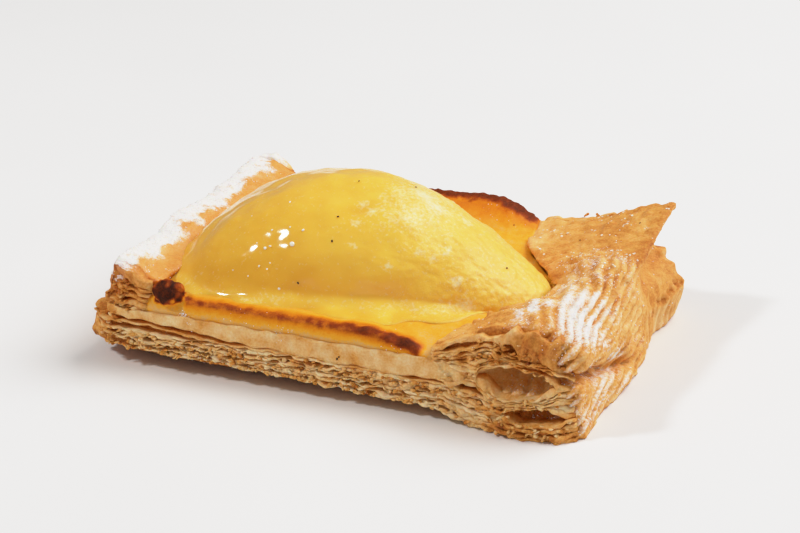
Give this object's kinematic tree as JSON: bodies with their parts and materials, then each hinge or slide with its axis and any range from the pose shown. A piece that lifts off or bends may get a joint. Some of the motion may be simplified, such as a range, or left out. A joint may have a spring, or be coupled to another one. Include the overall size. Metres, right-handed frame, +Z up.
{
  "type": "pear tart",
  "caption": "Rectangular slice of puff pastry with both ends folded over a baked custard bed that carries a glazed pear half.",
  "frame": {"origin": "on the flat underside, under the middle of the slice, on the surface that the tart rests on", "axes": "+X along the slice towards the end that the pear's stem points to, +Y from the near cut side to the far one, +Z up"},
  "size_m": [0.1327, 0.0916, 0.0444],
  "materials": {
    "puff_pastry": "baked puff pastry, golden tan, dry and flaky",
    "custard": "baked custard, yellow-orange with browned ridges, slightly glossy",
    "pear": "canned pear flesh under a clear fruit glaze",
    "fruit_glaze": "thin clear apricot glaze",
    "icing_sugar": "fine dry icing sugar",
    "sugar_crystals": "small clear sugar crystals",
    "burnt_custard": "burnt custard, nearly black, rough"
  },
  "bodies": {
    "root": {"puff_pastry": "puff_pastry", "custard_bed": "custard", "pear_half": "pear"}
  },
  "joints": []
}
